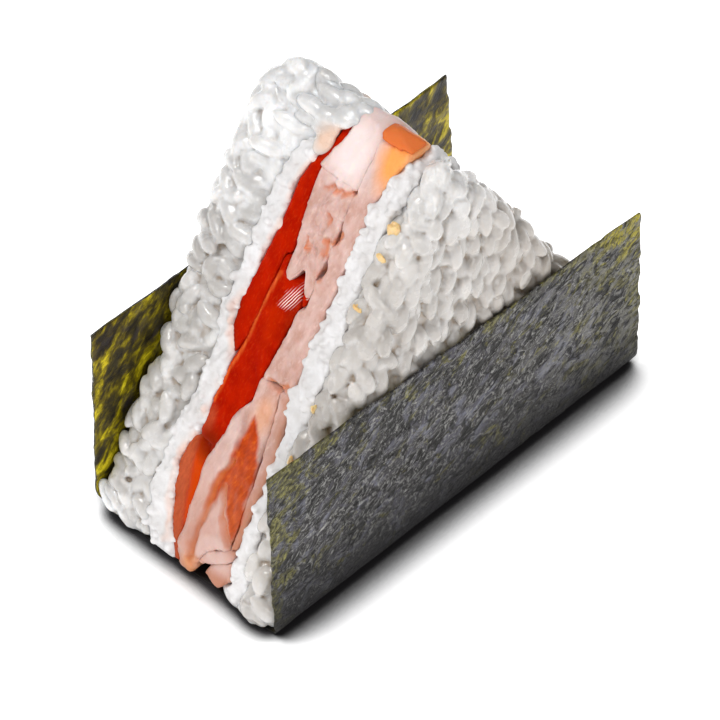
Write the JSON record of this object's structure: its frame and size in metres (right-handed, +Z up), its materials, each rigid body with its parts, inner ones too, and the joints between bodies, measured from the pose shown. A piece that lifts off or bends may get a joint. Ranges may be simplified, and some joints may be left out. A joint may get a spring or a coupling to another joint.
{
  "type": "onigiri sandwich",
  "caption": "Onigiri sandwich: two triangular slabs of sticky rice with cream cheese, red fish slices and prawn between them, standing in a folded sheet of nori.",
  "frame": {"origin": "middle of the nori's flat underside, under the middle of the whole", "axes": "+Z up; +X along the foot of the triangle; +Y through the layers, from the lower front flap to the higher back flap"},
  "size_m": [0.0947, 0.0477, 0.0837],
  "materials": {
    "rice": "moist cooked short-grain rice, white and slightly translucent",
    "cream_cheese": "soft white cream cheese, matte and crumbly",
    "salmon": "deep orange-red fish, wet and glossy, finely fibrous",
    "prawn": "cooked prawn, pinkish white with orange patches, moist",
    "nori": "dry roasted nori, dark slate green outside and olive inside, fine relief"
  },
  "bodies": {
    "root": {"rice_back": "rice", "rice_front": "rice", "cheese_back": "cream_cheese", "cheese_front": "cream_cheese", "salmon_upper": "salmon", "salmon_middle": "salmon", "salmon_lower": "salmon", "salmon_scrap": "salmon", "salmon_tip": "salmon", "prawn_top": "prawn", "prawn_middle": "prawn", "prawn_long": "prawn", "prawn_lower": "prawn", "prawn_edge": "prawn", "prawn_bar": "prawn", "prawn_end": "prawn", "nori_sheet": "nori"}
  },
  "joints": []
}
